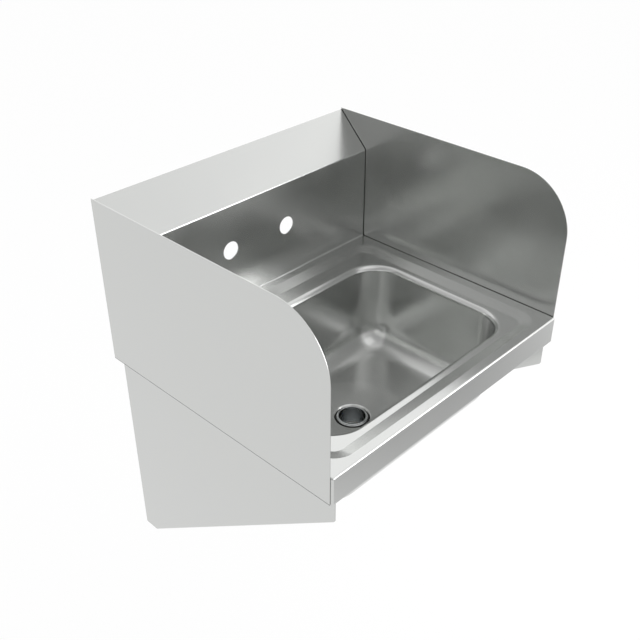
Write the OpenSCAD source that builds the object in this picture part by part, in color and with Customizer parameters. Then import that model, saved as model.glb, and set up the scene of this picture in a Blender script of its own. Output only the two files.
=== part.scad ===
// Wall-hung stainless steel hand basin. A drawn basin body stands between two side
// splashes and on two skirt brackets, hooks over a strip screwed to the wall, and
// empties through a clamped drain and its tailpiece.
// X runs to the right, Y towards the wall and Z up. Every module draws with the
// deck's top at Z 0 and the wall at Y 0. at_wall_hook() then lowers it, so that the
// origin is the middle of the wall hook's hole pattern, on the wall.

/* [Overall] */
// Width over the outer faces of the side splashes
overall_w = 431.8; // [426:0.1:500]
// Wall to the front face of the apron
overall_d = 390.5; // [389:0.1:440]
// Height of the back splash and the side splashes above the deck
splash_h = 190.5; // [170:0.1:250]
// Depth of the skirt brackets' feet below the deck
foot_drop = 342.9; // [320:0.1:420]
// Thickness of every folded sheet
sheet_t = 1.2; // [0.9:0.05:1.6]
// Inside radius of the folds
bend_r = 1.2; // [0.8:0.05:1.6]

/* [Back splash] */
// Wall to the upright face of the back splash
splash_d = 50.8; // [45:0.1:60]
// Height at which the back splash leans back to the wall
splash_break_h = 139.7; // [125:0.1:155]
// Radius of the cove between the deck and the back splash
cove_r = 2.4; // [1.5:0.1:4]
// Depth of the flanges folded back at the sides of the back splash
side_flange_d = 14; // [10:0.1:24]
// Height of the hook flange turned down at the wall
hook_flange_h = 25.4; // [20:0.1:30]
// Inside radius of the tight fold over the hook flange
hook_bend_r = 0.4; // [0.3:0.05:0.8]
// Bore of a faucet hole
faucet_bore = 25.4; // [20:0.1:32]
// Distance between the middles of the two faucet holes
faucet_pitch = 101.6; // [80:0.1:200]
// Height of the faucet holes above the deck
faucet_h = 76.2; // [60:0.1:100]

/* [Deck] */
// Height of the apron
apron_h = 38.1; // [34:0.1:50]
// Flat border between the stamped step and the sides of the deck
border_side = 16.2; // [14:0.1:18]
// Flat border between the stamped step and the apron
border_front = 12.5; // [11:0.1:14]
// Flat border between the stamped step and the back splash
border_rear = 13.2; // [11:0.1:20]
// Depth of the stamped step
step_depth = 4.5; // [3:0.1:6]
// Width of the step's sloping wall
step_slope_w = 16.5; // [14:0.1:18]
// Corner radius of the step's upper edge
step_corner_r = 30; // [24:0.1:40]

/* [Bowl] */
// Side splash's outer face to the bowl's rolled rim
bowl_side = 38.1; // [35:0.1:60]
// Length of the bowl from front to back over its rolled rim
bowl_l = 254; // [230:0.1:258]
// Depth of the bowl below the step
bowl_depth = 127; // [110:0.1:150]
// Wall to the middle of the bowl
bowl_from_wall = 228.6; // [226:0.1:231]
// Corner radius of the rolled rim's outer edge
bowl_corner_r = 54; // [50:0.1:60]
// Radius of the rim as it rolls over into the wall
roll_r = 9; // [6:0.1:11]
// Radius between the bowl's wall and its floor
floor_fillet_r = 36; // [25:0.1:38]
// Lean of the bowl's wall from upright, in degrees
wall_draft = 2; // [1:0.1:4]
// Radius of the part of the floor that falls to the drain
dish_r = 75; // [60:0.1:85]
// Fall of the floor to the edge of the drain's seat
dish_fall = 2.5; // [1.5:0.1:5]

/* [Drain] */
// Wall to the middle of the drain
drain_from_wall = 226; // [220:0.1:236]
// Diameter of the drain's flange
drain_flange_dia = 45.6; // [44.5:0.1:50]
// Thickness of the flange at its rim
drain_flange_t = 1.6; // [1:0.1:2.5]
// Outer diameter of the raised bead round the drain's mouth
bead_dia = 41; // [40:0.1:42]
// Height of that bead above the flange
bead_h = 1.4; // [0.8:0.1:2.5]
// Waterway through the drain body
waterway_dia = 36.6; // [34:0.1:37]
// Outer diameter of the drain body's barrel
barrel_dia = 41.3; // [40.8:0.1:43]
// Length of the barrel below its flange
barrel_l = 23.5; // [22:0.1:32]
// Depth of the seat stamped round the drain hole
seat_depth = 2.2; // [1.5:0.1:3]
// Width of the seat's sloping wall
seat_slope_w = 2.3; // [1.5:0.1:4]
// Thickness of the seal between the flange and its seat
seal_t = 0.5; // [0.3:0.1:1]
// Outer diameter of the washers under the bowl
drain_washer_dia = 58; // [52:0.1:66]
// Thickness of the rubber washer under the bowl
rubber_t = 3; // [2:0.1:4]
// Thickness of the slip ring between the rubber washer and the locknut
slip_ring_t = 0.8; // [0.5:0.1:1.2]
// Width of the locknut across its flats
locknut_flats = 54; // [50:0.1:64]
// Height of the locknut
locknut_h = 6.5; // [5:0.1:7]

/* [Tailpiece] */
// Outer diameter of the tailpiece
tail_dia = 38.1; // [37:0.1:38.6]
// Wall of the tailpiece tube
tail_wall = 1.2; // [0.8:0.05:1.6]
// Length of the tailpiece
tail_l = 76.2; // [60:0.1:110]
// Thickness of the tailpiece's flange
tail_flange_t = 1.6; // [1.2:0.1:2]
// Thickness of the washer on the tailpiece's flange
tail_washer_t = 1.6; // [1:0.1:2]
// Width of the coupling nut across its flats
coupling_flats = 47; // [46:0.1:54]
// Height of the thread engaged in the coupling nut
coupling_grip = 7; // [5:0.1:8]
// Thickness of the coupling nut's lip under the tailpiece's flange
coupling_lip_t = 2; // [1.4:0.1:3]

/* [Skirt brackets] */
// Side splash's outer face to the skirt's outer face
skirt_inset = 11.1; // [9.5:0.1:13]
// Apron's face to the skirt's front edge
skirt_setback = 5.5; // [4:0.1:20]
// Deck to the skirt's lower front corner
skirt_nose_drop = 72; // [58:0.1:100]
// Length of the skirt's flat foot
skirt_foot_l = 25.4; // [20:0.1:50]
// Radius of the skirt's lower corners
skirt_corner_r = 4; // [3:0.1:6]
// Width of the flange that the skirt turns in along the wall
wall_flange_w = 28; // [24:0.1:36]
// Bore of a screw hole in that flange
skirt_hole_dia = 8; // [6:0.1:9]
// Skirt's outer face to the middle of its screw holes
skirt_hole_inset = 14.3; // [12:0.1:17]
// Deck to the upper screw hole
skirt_hole_drop = 88.9; // [75:0.1:100]
// Distance between the upper and the lower screw hole
skirt_hole_pitch = 203.2; // [150:0.1:205]

/* [Side splashes] */
// Wall to the front edge of the side splash
side_splash_d = 387.35; // [380:0.05:388]
// Radius of the side splash's upper front corner
side_corner_r = 76.2; // [40:0.1:100]

/* [Wall hook] */
// Length of the hook strip along the wall
hook_l = 355.6; // [330:0.1:380]
// Thickness of the hook strip
hook_t = 1.9; // [1.5:0.05:2.6]
// Top of the back splash to the middle of the strip's hole pattern
hook_line_drop = 57.15; // [54:0.05:65]
// Distance between the strip's left and right holes
hook_pitch_x = 304.8; // [250:0.1:310]
// Distance between the strip's upper and lower holes
hook_pitch_z = 25.4; // [20:0.1:28]
// Bore of a screw hole in the strip
hook_hole_dia = 7.1; // [5:0.1:8]
// Holes' middles to the lower edge of the strip
hook_edge = 12.7; // [9:0.1:18]

/* [Fits] */
// Gap between sheets that slip past each other
slip_gap = 0.2; // [0.1:0.05:0.4]
// Depth by which a trimmed corner's arc crosses the plate's edges
trim_hair = 0.005; // [0.004:0.001:0.01]
// Radial gap of the drain's loose rings and threads
ring_gap = 0.3; // [0.15:0.05:0.35]

/* [Hidden] */
$fn = 120;

steel = "#c9cbca";
galvanised = "#a9adae";
rubber = "#2b2b2b";
fibre = "#b08d62";
nylon = "#e6e4dc";

// One overrun carries every cut past the face that it goes through.
over = 5 * sheet_t;
// The blocks that make up one form overlap by a lap.
lap = sheet_t;

// Folds: the outside radius of a fold, and the side faces of the body.
fold_r = bend_r + sheet_t;
body_x = overall_w / 2 - sheet_t;

// Back splash: it leans back from its break to reach its full height at the wall.
lean = atan2(splash_h - splash_break_h, splash_d);
flange_y = -splash_d + side_flange_d;
hook_flange_z = splash_h - hook_flange_h;

// Stamped step: the quarter circles of its corners and the height of its floor.
step_slope = atan2(step_depth, step_slope_w);
step_x = body_x - border_side - step_corner_r;
step_y0 = -overall_d + border_front + step_corner_r;
step_y1 = -splash_d - border_rear - step_corner_r;

// Bowl: the quarter circles of its corners, its floor and its wall's section. The
// section is drawn outward from the middle of a corner.
bowl_x = overall_w / 2 - bowl_side - bowl_corner_r;
bowl_y0 = -bowl_from_wall - bowl_l / 2 + bowl_corner_r;
bowl_y1 = -bowl_from_wall + bowl_l / 2 - bowl_corner_r;
floor_z = -step_depth - bowl_depth;
wall_top_u = bowl_corner_r - roll_r * tan((90 - wall_draft) / 2);

// Drain seat: a dish and a flat seat pressed into the bowl's floor.
drain_at = [0, -drain_from_wall, 0];
seat_r = drain_flange_dia / 2 + ring_gap;
seat_top_r = seat_r + seat_slope_w;
seat_z = floor_z - dish_fall - seat_depth;
dish_slope = atan2(dish_fall, dish_r - seat_top_r);
seat_slope = atan2(seat_depth, seat_slope_w);
drain_hole_r = barrel_dia / 2 + ring_gap;

// Drain: the levels of the parts clamped through the seat.
flange_z = seat_z + seal_t;
under_z = seat_z - sheet_t;
slip_ring_z = under_z - rubber_t - slip_ring_t;
locknut_z = slip_ring_z - locknut_h;
barrel_z = flange_z - barrel_l;
tail_top_z = barrel_z - tail_washer_t;
tail_flange_r = barrel_dia / 2 - ring_gap;
coupling_z = tail_top_z - tail_flange_t - coupling_lip_t;
coupling_top_z = barrel_z + coupling_grip;

// Skirt: its outer face, its front edge, and the hem of the apron that it hooks over.
skirt_x = overall_w / 2 - skirt_inset;
skirt_front_y = -overall_d + skirt_setback;
hem_x = skirt_x + bend_r + slip_gap;
hem_w = body_x - hem_x;
skirt_notch_y = -overall_d + hem_w + slip_gap;
skirt_bend_z = -apron_h + sheet_t - bend_r;
skirt_top_flange_w = body_x - sheet_t - bend_r - slip_gap - skirt_x + sheet_t;

// Wall hook: its holes' line, the shoulder that carries the hook flange, and its lip.
hook_line_z = splash_h - hook_line_drop;
hook_jog = sheet_t + slip_gap;
hook_slope = 45;
hook_shoulder_z = hook_flange_z - sheet_t - slip_gap;
hook_lip_y = -hook_jog - hook_t;
hook_lip_z = splash_h + hook_lip_y * tan(lean) - sheet_t / cos(lean) - hook_jog;
hook_bottom_z = hook_line_z - hook_pitch_z / 2 - hook_edge;

// Vector helpers for outlines with rounded corners.
function unit(v) = v / norm(v);
function half_angle(a, p, b) = acos(unit(a - p) * unit(b - p)) / 2;
function touch(p, toward, r, half) = p + unit(toward - p) * r / tan(half);
function arc_middle(a, p, b, r, half) = p + unit(unit(a - p) + unit(b - p)) * r / sin(half);

// The corner of a sheet's section when the sheet's other face, g away, is drawn. The
// section falls at the angles a and b before and after the corner.
function other_face(p, a, b, g) =
    p + g / cos((b - a) / 2) * [sin((a + b) / 2), -cos((a + b) / 2)];

// The wedge from the middle of a rounded corner's arc out past its two tangent points.
module corner_wedge(a, p, b, r) {
    half = half_angle(a, p, b);
    m = arc_middle(a, p, b, r, half);
    from = touch(p, a, r, half);
    to = touch(p, b, r, half);
    polygon([m, from, 2 * from - m, 4 * p - 3 * m, 2 * to - m, to]);
}

// The round slice that closes an outward corner.
module corner_slice(a, p, b, r) {
    intersection() {
        translate(arc_middle(a, p, b, r, half_angle(a, p, b))) circle(r);
        corner_wedge(a, p, b, r);
    }
}

// The web that fills an inward corner. It laps the outline behind the corner.
module corner_web(a, p, b, r) {
    half = half_angle(a, p, b);
    m = arc_middle(a, p, b, r, half);
    difference() {
        polygon([m, touch(p, a, r, half), 2 * p - m, touch(p, b, r, half)]);
        translate(m) circle(r);
    }
}

// A polygon, given anticlockwise, whose corners are rounded by true arcs. Outward
// corners are trimmed and inward corners are filled.
module soft_outline(points, radii) {
    last = len(points) - 1;
    before = [for (i = [0:last]) points[i == 0 ? last : i - 1]];
    after = [for (i = [0:last]) points[i == last ? 0 : i + 1]];
    outward = [for (i = [0:last]) cross(points[i] - before[i], after[i] - points[i]) > 0];
    difference() {
        polygon(points);
        for (i = [0:last]) if (radii[i] > 0 && outward[i]) {
            corner_wedge(before[i], points[i], after[i], radii[i]);
        }
    }
    for (i = [0:last]) if (radii[i] > 0) {
        if (outward[i]) corner_slice(before[i], points[i], after[i], radii[i]);
        else corner_web(before[i], points[i], after[i], radii[i]);
    }
}

// What a shear trims off the outward corner of a plate. The arc crosses the plate's
// edges by a hair instead of touching them, so that a sloping edge leaves no sliver.
module corner_trim(a, p, b, r) {
    difference() {
        corner_wedge(a, p, b, r);
        translate(arc_middle(a, p, b, r, half_angle(a, p, b))) circle(r + trim_hair);
    }
}

// The section of a sheet folded once: legs a along X and b along Y from the corner.
module angle_section(a, b) {
    difference() {
        soft_outline([[0, 0], [a, 0], [a, b], [0, b]], [fold_r, 0, 0, 0]);
        soft_outline(
            [[sheet_t, sheet_t], [a + over, sheet_t], [a + over, b + over], [sheet_t, b + over]],
            [bend_r, 0, 0, 0]
        );
    }
}

// A rectangular form with round corners: the section given as a child, drawn outward
// from a corner's middle, turns round each corner and runs on past the middle of the
// two sides that meet there.
module drawn_form(x, y0, y1, z0, z1) {
    middles = [[x, y1], [-x, y1], [-x, y0], [x, y0]];
    runs = [(y1 - y0) / 2 + lap, x + lap];
    translate([-x - lap, y0 - lap, z0]) cube([2 * (x + lap), y1 - y0 + 2 * lap, z1 - z0]);
    for (i = [0:3]) translate(middles[i]) rotate([0, 0, 90 * i]) {
        rotate_extrude(angle = 90) children();
        rotate([90, 0, 0]) linear_extrude(runs[i % 2]) children();
        rotate([90, 0, -90]) mirror([1, 0]) linear_extrude(runs[(i + 1) % 2]) children();
    }
}

// Draws a section of the Y and Z axes along the X axis, from -x to x.
module across(x) {
    translate([-x, 0, 0]) rotate([90, 0, 90]) linear_extrude(2 * x) children();
}

module at_wall_hook() {
    translate([0, 0, -hook_line_z]) children();
}

// Basin body. It is one sheet, so each form is drawn for a depth g into the sheet:
// 0 gives the face that is seen and sheet_t the face behind it.

// Side view of the apron, deck, back splash and its lean back to the wall.
module body_profile(g) {
    slant = g * tan((90 - lean) / 2);
    soft_outline(
        [
            [-overall_d + g, -apron_h + g],
            [-g, -apron_h + g],
            [-g, splash_h - g * tan(lean) - g / cos(lean)],
            [-splash_d + g, splash_break_h - slant],
            [-splash_d + g, -g],
            [-overall_d + g, -g]
        ],
        [fold_r - g, 0, hook_bend_r + sheet_t - g, fold_r - g, cove_r + g, fold_r - g]
    );
}

// Section across a face of the body: its middle and the folds at its two sides.
module folded_sides(g, depth) {
    soft_outline(
        [[-body_x + g, -depth], [body_x - g, -depth], [body_x - g, -g], [-body_x + g, -g]],
        [0, 0, fold_r - g, fold_r - g]
    );
}

// The space that the body encloses: its profile, with folded sides on the apron, the
// deck, the back splash and the lean.
module body_space(g) {
    rise = splash_h + apron_h;
    run = overall_d + splash_d;
    intersection() {
        across(body_x - g) body_profile(g);
        translate([0, -overall_d, -apron_h]) rotate([0, 0, 180]) linear_extrude(rise)
            folded_sides(g, run);
        union() {
            rotate([90, 0, 0]) linear_extrude(overall_d) folded_sides(g, apron_h);
            intersection() {
                translate([0, -splash_d, -over]) rotate([0, 0, 180]) linear_extrude(rise)
                    folded_sides(g, run);
                translate([0, -splash_d, splash_break_h]) rotate([90 + lean, 0, 0])
                    translate([0, 0, -run]) linear_extrude(2 * run) folded_sides(g, run);
            }
            translate([-body_x + fold_r, -splash_d - cove_r, -over])
                cube([2 * (body_x - fold_r), cove_r + over, cove_r + over]);
        }
    }
}

// What the folded sheet leaves open: the bottom inside the hem, and all that lies
// deeper than the side flanges behind the back splash, down to the hook flange.
module body_openings() {
    deep = side_flange_d;
    translate([-hem_x, -overall_d + hem_w, -apron_h - over])
        cube([2 * hem_x, overall_d, sheet_t + 2 * over]);
    across(body_x + over) polygon([
        [flange_y, -apron_h - over],
        [over, -apron_h - over],
        [over, hook_flange_z],
        [-sheet_t - bend_r, hook_flange_z],
        [-sheet_t - bend_r, splash_h - (sheet_t + bend_r) * tan(lean) - deep / cos(lean)],
        [flange_y, splash_break_h - deep * tan((90 - lean) / 2)]
    ]);
}

// Stamped step round the bowl.
module step_form(g, top) {
    high = other_face([step_corner_r, 0], 0, step_slope, g);
    low = other_face([step_corner_r - step_slope_w, -step_depth], step_slope, 0, g);
    drawn_form(step_x, step_y0, step_y1, low.y, top)
        polygon([[0, low.y], low, high, [high.x, top], [0, top]]);
}

// Deep bowl: the rim rolls over a true arc into the leaning wall, and the wall runs
// through a large arc into the floor.
module bowl_form(g) {
    wall_top = [wall_top_u + g / cos(wall_draft) - g * tan(wall_draft), -step_depth - g];
    wall_h = wall_top.y - floor_z + g;
    foot = [wall_top.x - wall_h * tan(wall_draft), floor_z - g];
    rim = bowl_corner_r + over;
    drawn_form(bowl_x, bowl_y0, bowl_y1, floor_z - g, -step_depth + (g > 0 ? 0 : over))
        soft_outline(
            [
                [0, foot.y],
                foot,
                wall_top,
                [rim, wall_top.y],
                [rim, -step_depth + (g > 0 ? 0 : over)],
                [0, -step_depth + (g > 0 ? 0 : over)]
            ],
            [0, floor_fillet_r + g, roll_r - g, 0, 0, 0]
        );
}

// Dish in the bowl's floor and the flat seat pressed round the drain hole.
module seat_form(g) {
    edge = other_face([dish_r, floor_z], 0, dish_slope, g);
    brink = other_face([seat_top_r, floor_z - dish_fall], dish_slope, seat_slope, g);
    seat = other_face([seat_r, seat_z], seat_slope, 0, g);
    top = floor_z + (g > 0 ? 0 : over);
    translate(drain_at) rotate_extrude()
        polygon([[0, seat.y], seat, brink, edge, [edge.x, top], [0, top]]);
}

module basin_body() {
    color(steel) at_wall_hook() difference() {
        union() {
            difference() {
                body_space(0);
                body_space(sheet_t);
                body_openings();
            }
            step_form(sheet_t, -sheet_t / 2);
            bowl_form(sheet_t);
            seat_form(sheet_t);
        }
        step_form(0, over);
        bowl_form(0);
        seat_form(0);
        translate(drain_at + [0, 0, seat_z - sheet_t - over])
            cylinder(h = sheet_t + 2 * over, r = drain_hole_r);
        for (side = [-1, 1]) translate([side * faucet_pitch / 2, -splash_d - over, faucet_h])
            rotate([-90, 0, 0]) cylinder(h = sheet_t + 2 * over, r = faucet_bore / 2);
    }
}

// Side splash: a flat plate welded to the body's side flanges, round at its upper
// front corner, and flush with the apron's lower edge.
module side_splash() {
    translate([body_x, 0, 0]) rotate([90, 0, 90]) linear_extrude(sheet_t) soft_outline(
        [[-side_splash_d, -apron_h], [0, -apron_h], [0, splash_h], [-side_splash_d, splash_h]],
        [0, 0, 0, side_corner_r]
    );
}

module right_side_splash() {
    color(steel) at_wall_hook() side_splash();
}

module left_side_splash() {
    color(steel) at_wall_hook() mirror([1, 0, 0]) side_splash();
}

// Skirt bracket: a plate whose lower edge slopes down to the wall. It turns in along
// the wall, where two screws hold it, and out over the apron's hem, where it is welded.
module skirt_outline() {
    shoulder = [skirt_front_y, -apron_h - slip_gap];
    nose = [skirt_front_y, -skirt_nose_drop];
    toe = [-skirt_foot_l, -foot_drop];
    heel = [0, -foot_drop];
    difference() {
        polygon([
            heel,
            [0, skirt_bend_z],
            [skirt_notch_y, skirt_bend_z],
            [skirt_notch_y, shoulder.y],
            shoulder,
            nose,
            toe
        ]);
        corner_trim(shoulder, nose, toe, skirt_corner_r);
        corner_trim(nose, toe, heel, skirt_corner_r);
        corner_trim(toe, heel, [0, skirt_bend_z], skirt_corner_r);
    }
}

module skirt() {
    difference() {
        intersection() {
            translate([skirt_x, 0, -foot_drop]) rotate([0, 0, 180])
                linear_extrude(foot_drop) angle_section(wall_flange_w, overall_d);
            across(skirt_x + over) skirt_outline();
        }
        for (row = [0, 1]) {
            hole_z = -skirt_hole_drop - row * skirt_hole_pitch;
            translate([skirt_x - skirt_hole_inset, over, hole_z]) rotate([90, 0, 0])
                cylinder(h = sheet_t + 2 * over, r = skirt_hole_dia / 2);
        }
    }
    translate([skirt_x - sheet_t, -fold_r, skirt_bend_z + fold_r]) rotate([90, 0, 0])
        linear_extrude(-fold_r - skirt_notch_y) mirror([0, 1]) intersection() {
            angle_section(skirt_top_flange_w, 2 * fold_r);
            square([skirt_top_flange_w, fold_r]);
        }
}

module right_skirt() {
    color(steel) at_wall_hook() skirt();
}

module left_skirt() {
    color(steel) at_wall_hook() mirror([1, 0, 0]) skirt();
}

// Wall hook: a strip screwed to the wall. It steps out by the thickness of the hook
// flange, which hangs behind its lip and rests on the step's slope.
module wall_hook() {
    turn = hook_t * tan(hook_slope / 2);
    color(galvanised) at_wall_hook() difference() {
        across(hook_l / 2) polygon([
            [0, hook_bottom_z],
            [0, hook_shoulder_z],
            [-hook_jog, hook_shoulder_z + hook_jog],
            [-hook_jog, hook_lip_z],
            [hook_lip_y, hook_lip_z],
            [hook_lip_y, hook_shoulder_z + hook_jog - turn],
            [-hook_t, hook_shoulder_z - turn],
            [-hook_t, hook_bottom_z]
        ]);
        for (side = [-1, 1], row = [-1, 1]) {
            translate([side * hook_pitch_x / 2, over, hook_line_z + row * hook_pitch_z / 2])
                rotate([90, 0, 0]) cylinder(h = hook_t + 2 * over, r = hook_hole_dia / 2);
        }
    }
}

// Drain body: a flange with a raised bead round the mouth, and a barrel for the nuts.
module drain_body() {
    rim_r = drain_flange_dia / 2;
    bead_r = bead_dia / 2;
    bore_r = waterway_dia / 2;
    bead_w = bead_r - bore_r;
    top_z = flange_z + drain_flange_t;
    color("silver") at_wall_hook() translate(drain_at) rotate_extrude() {
        polygon([
            [bore_r, barrel_z],
            [barrel_dia / 2, barrel_z],
            [barrel_dia / 2, flange_z],
            [rim_r, flange_z],
            [rim_r, flange_z + drain_flange_t / 2],
            [bead_r, top_z],
            [bead_r, top_z + bead_h - bead_w / 2],
            [bore_r, top_z + bead_h - bead_w / 2]
        ]);
        translate([bore_r + bead_w / 2, top_z + bead_h - bead_w / 2]) circle(bead_w / 2);
    }
}

// A flat ring round the drain's barrel, from z up.
module drain_ring(z, h, inner_r, outer_r) {
    at_wall_hook() translate(drain_at + [0, 0, z]) difference() {
        cylinder(h = h, r = outer_r);
        translate([0, 0, -over]) cylinder(h = h + 2 * over, r = inner_r);
    }
}

module flange_seal() {
    color(rubber) drain_ring(seat_z, seal_t, drain_hole_r, drain_flange_dia / 2);
}

module rubber_washer() {
    color(rubber) drain_ring(under_z - rubber_t, rubber_t, drain_hole_r, drain_washer_dia / 2);
}

module slip_ring() {
    color(fibre) drain_ring(slip_ring_z, slip_ring_t, drain_hole_r, drain_washer_dia / 2);
}

// A nut with six flats whose corners are turned down to a cone.
module turned_hex(z0, z1, flats) {
    corner_r = flats / 2 / cos(30);
    translate([0, 0, z0]) intersection() {
        cylinder(h = z1 - z0, r = corner_r, $fn = 6);
        rotate_extrude() polygon([
            [0, 0],
            [flats / 2, 0],
            [corner_r, (corner_r - flats / 2) * tan(30)],
            [corner_r, z1 - z0 - (corner_r - flats / 2) * tan(30)],
            [flats / 2, z1 - z0],
            [0, z1 - z0]
        ]);
    }
}

module drain_locknut() {
    color("silver") at_wall_hook() translate(drain_at) difference() {
        turned_hex(locknut_z, slip_ring_z, locknut_flats);
        translate([0, 0, locknut_z - over]) cylinder(h = locknut_h + 2 * over, r = barrel_dia / 2);
    }
}

module tailpiece_washer() {
    color(nylon) drain_ring(tail_top_z, tail_washer_t, waterway_dia / 2 + ring_gap, tail_flange_r);
}

// Tailpiece: a thin tube with a flange at its top, clamped under the drain body. The
// tube flares a little where it passes through the coupling nut's lip.
module tailpiece() {
    inner_r = tail_dia / 2 - tail_wall;
    color("silver") at_wall_hook() translate(drain_at) rotate_extrude() polygon([
        [inner_r, tail_top_z - tail_l],
        [tail_dia / 2, tail_top_z - tail_l],
        [tail_dia / 2, coupling_z - ring_gap],
        [(tail_dia + ring_gap) / 2, tail_top_z - tail_flange_t],
        [tail_flange_r, tail_top_z - tail_flange_t],
        [tail_flange_r, tail_top_z],
        [inner_r, tail_top_z]
    ]);
}

module coupling_nut() {
    color("silver") at_wall_hook() translate(drain_at) difference() {
        turned_hex(coupling_z, coupling_top_z, coupling_flats);
        translate([0, 0, coupling_z + coupling_lip_t])
            cylinder(h = coupling_top_z - coupling_z + over, r = barrel_dia / 2);
        translate([0, 0, coupling_z - over])
            cylinder(h = 2 * over + coupling_lip_t, r = tail_dia / 2 + ring_gap);
    }
}

basin_body();
left_side_splash();
right_side_splash();
left_skirt();
right_skirt();
wall_hook();
drain_body();
flange_seal();
rubber_washer();
slip_ring();
drain_locknut();
tailpiece_washer();
tailpiece();
coupling_nut();
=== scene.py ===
"""The looks of a wall-hung stainless steel hand basin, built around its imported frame.

Sizes are in millimetres and are counted as on the basin itself: x from its middle to
the right, y from the wall (0) towards the front (negative), z up from the deck (0).
"""

from math import cos, pi, radians, sin, tan

import bmesh
import bpy
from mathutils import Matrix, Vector


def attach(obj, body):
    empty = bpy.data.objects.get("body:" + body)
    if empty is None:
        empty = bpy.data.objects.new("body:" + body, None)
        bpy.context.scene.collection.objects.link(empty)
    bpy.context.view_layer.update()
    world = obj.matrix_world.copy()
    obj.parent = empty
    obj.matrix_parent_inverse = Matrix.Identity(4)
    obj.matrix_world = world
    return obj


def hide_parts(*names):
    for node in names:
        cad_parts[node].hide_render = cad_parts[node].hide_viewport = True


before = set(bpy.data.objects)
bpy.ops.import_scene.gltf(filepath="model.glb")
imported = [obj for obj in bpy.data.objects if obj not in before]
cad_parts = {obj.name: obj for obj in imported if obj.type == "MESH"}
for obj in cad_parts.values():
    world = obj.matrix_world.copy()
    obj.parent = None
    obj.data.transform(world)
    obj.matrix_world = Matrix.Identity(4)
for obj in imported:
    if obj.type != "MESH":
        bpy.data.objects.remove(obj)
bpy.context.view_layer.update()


# ---- Basin body
# One blank of stainless sheet. The bowl is deep-drawn in it, the deck gets a stamped
# step, and the apron, the back splash with its lean and all the flanges are folded.

DECK_LEVEL = -133.35  # the deck in the row's frame, whose origin is on the wall hook

sheet = 1.2
fold = 2.4
body_x = 214.7
front_y = -390.5
apron_z = -38.1
splash_y = -50.8
lean_z = 139.7
top_z = 190.5
hem_w = 8.5
hem_fold = 1.6
flange_y = -36.8
hook_flange_z = 165.1
hook_fold = 1.6
bowl_z = -4.5
floor_z = -131.5
drain_y = -226


def at(x, y, z):
    """The point, in metres in the row's frame."""
    return Vector((x, y, z + DECK_LEVEL)) / 1000


def pick(kind, test, rim=False):
    """Selects the VERT, EDGE or FACE parts whose corners x, y, z all pass the test.

    With rim, only edges that end a face or stand alone are taken.
    """
    bpy.ops.mesh.select_mode(type=kind)
    bpy.ops.mesh.select_all(action="DESELECT")
    mesh = bmesh.from_edit_mesh(bpy.context.object.data)
    parts = {"VERT": mesh.verts, "EDGE": mesh.edges, "FACE": mesh.faces}[kind]
    for part in parts:
        corners = [part] if kind == "VERT" else part.verts
        spots = [corner.co * 1000 - Vector((0, 0, DECK_LEVEL)) for corner in corners]
        free = not rim or part.is_boundary or part.is_wire
        part.select_set(free and all(test(*spot) for spot in spots))
    mesh.select_flush_mode()
    bmesh.update_edit_mesh(bpy.context.object.data)


def near(a, b):
    return abs(a - b) < 0.005


def start(name, primitive, extent, middle, **settings):
    """Adds a primitive at its size and place, opens it in edit mode and returns it."""
    bpy.ops.object.select_all(action="DESELECT")
    primitive(location=at(*middle), **settings)
    piece = bpy.context.object
    piece.name = piece.data.name = name
    piece.scale = Vector(extent) / 1000
    bpy.ops.object.transform_apply(location=True, rotation=True, scale=True)
    bpy.ops.object.mode_set(mode="EDIT")
    return piece


def cut(point, normal, **settings):
    """Bisects what is selected."""
    bpy.ops.mesh.bisect(plane_co=at(*point), plane_no=Vector(normal).normalized(), **settings)


def rounded(corners, step=7.5):
    """The line through corners (across, up, radius), with an arc at each inner one."""
    line = [Vector(corners[0][:2])]
    for before, corner, after in zip(corners, corners[1:], corners[2:]):
        point, radius = Vector(corner[:2]), corner[2]
        back = (Vector(before[:2]) - point).normalized()
        on = (Vector(after[:2]) - point).normalized()
        half = back.angle(on) / 2
        middle = point + (back + on).normalized() * radius / sin(half)
        spoke = point + back * radius / tan(half) - middle
        turn = (pi - 2 * half) * (1 if back.cross(on) < 0 else -1)
        steps = max(2, round(abs(turn) / radians(step)))
        for i in range(steps + 1):
            a = turn * i / steps
            across = spoke.x * cos(a) - spoke.y * sin(a)
            along = spoke.x * sin(a) + spoke.y * cos(a)
            line.append(middle + Vector((across, along)))
    line.append(Vector(corners[-1][:2]))
    return [p for i, p in enumerate(line) if i == 0 or (p - line[i - 1]).length > 0.005]


def press(line):
    """Sinks the selected face ring by ring along a section of inward and downward steps."""
    for a, b in zip(line, line[1:]):
        bpy.ops.mesh.inset(thickness=(a.x - b.x) / 1000, depth=(b.y - a.y) / 1000)


def finish(piece, smooth=30):
    """Leaves edit mode and shades the piece, with flat faces kept flat beside its bends."""
    bpy.ops.object.mode_set(mode="OBJECT")
    bpy.ops.object.shade_smooth_by_angle(angle=radians(smooth))
    shading = piece.modifiers.new("flat faces", "WEIGHTED_NORMAL")
    shading.keep_sharp = True
    bpy.ops.object.modifier_apply(modifier=shading.name)


def thicken(piece, thickness):
    """Gives the sheet its thickness behind the face that was drawn."""
    bpy.ops.object.mode_set(mode="OBJECT")
    wall = piece.modifiers.new("sheet", "SOLIDIFY")
    wall.thickness = thickness / 1000
    wall.offset = -1
    wall.use_even_offset = True
    wall.use_quality_normals = True
    bpy.ops.object.modifier_apply(modifier=wall.name)
    bpy.ops.object.mode_set(mode="EDIT")


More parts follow.
